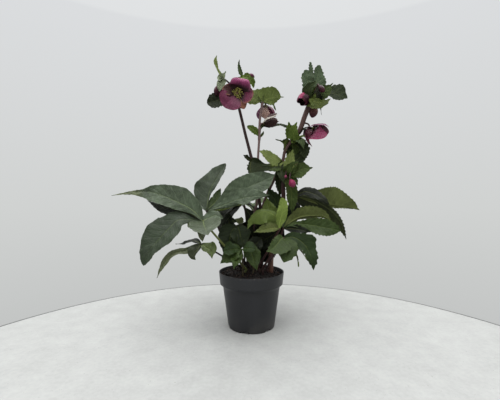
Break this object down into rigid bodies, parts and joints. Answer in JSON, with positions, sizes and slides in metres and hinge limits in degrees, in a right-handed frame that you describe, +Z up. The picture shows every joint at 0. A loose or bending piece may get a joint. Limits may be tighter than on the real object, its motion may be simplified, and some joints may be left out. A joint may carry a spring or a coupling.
{
  "type": "potted hellebore plant",
  "caption": "Hellebore in a round nursery pot: cut leaves on stalks, leafy flower stems with bracts, nodding purple cup flowers with yellow stamens, and buds, standing in soil.",
  "frame": {"origin": "centre of the pot's underside, on the flat pad and foot ring it stands on", "axes": "+Z up along the pot's axis, -Y towards the viewer, +X to the viewer's right"},
  "size_m": [0.5536, 0.3769, 0.6261],
  "materials": {
    "pot": "satin charcoal moulded plastic",
    "soil": "rough damp dark compost",
    "leaf": "satin deep green leaf",
    "grey_leaf": "matte grey-green leaf",
    "bract": "soft fresh green bract",
    "stem": "dull purple-brown stem",
    "sepal": "soft dusky purple petal-like sepal",
    "stamen": "dull yellow stamens"
  },
  "bodies": {
    "root": {"pot": "pot", "soil": "soil", "leaf_left_front": "grey_leaf", "leaf_left_back": "grey_leaf", "leaf_left_low": "grey_leaf", "leaf_centre": "leaf", "leaf_centre_low": "leaf", "leaf_low_left": "leaf", "leaf_front": "leaf", "leaf_middle": "leaf", "leaf_right": "leaf", "leaf_right_front": "leaf", "leaf_right_tall": "leaf", "leaf_back_left": "leaf", "leaf_back_right": "leaf", "leaf_back": "leaf", "stem_left": "stem", "stem_middle": "stem", "stem_right": "stem", "stem_short": "stem", "bracts_left_low": "bract", "bracts_left": "bract", "bracts_far_left": "bract", "bracts_left_right": "bract", "bracts_middle": "bract", "bracts_middle_high": "bract", "bracts_middle_top": "bract", "bracts_right_low": "bract", "bracts_right": "bract", "bracts_right_top": "bract", "bracts_right_under": "bract", "bracts_short": "bract", "bloom_left": "sepal", "stamens_left": "stamen", "bloom_middle": "sepal", "stamens_middle": "stamen", "bloom_middle_low": "sepal", "stamens_middle_low": "stamen", "bloom_right": "sepal", "stamens_right": "stamen", "bloom_right_top": "sepal", "stamens_right_top": "stamen", "bud_far_left": "sepal", "bud_left": "sepal", "bud_right_top": "sepal", "bud_right_hanging": "sepal", "bud_short": "sepal", "bud_short_small": "sepal"}
  },
  "joints": []
}
